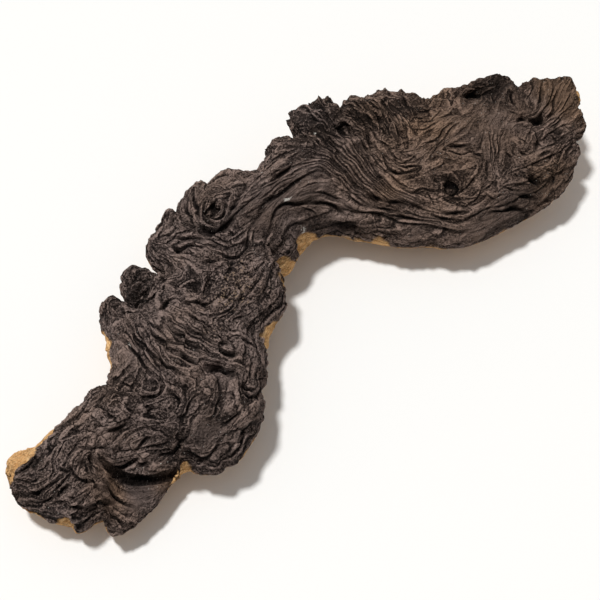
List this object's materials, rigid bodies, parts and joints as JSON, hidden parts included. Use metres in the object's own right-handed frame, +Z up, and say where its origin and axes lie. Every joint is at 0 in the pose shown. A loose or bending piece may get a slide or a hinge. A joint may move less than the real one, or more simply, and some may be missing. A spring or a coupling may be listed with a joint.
{
  "type": "mopani root",
  "caption": "One gnarled, S-curved piece of dark root wood with a folded top and a pale underside, lying flat as a display or aquarium root.",
  "frame": {"origin": "middle of the bounding box in plan, at the level of the surface that the root lies on", "axes": "+X along the root from its narrow tip to its broad paddle, +Y towards the knobbed back edge, +Z up"},
  "size_m": [0.4024, 0.1615, 0.0552],
  "materials": {
    "root_wood": "dull, weathered and folded, with a pale sandblasted underside"
  },
  "bodies": {
    "root": {"mopani_root": "root_wood"}
  },
  "joints": []
}
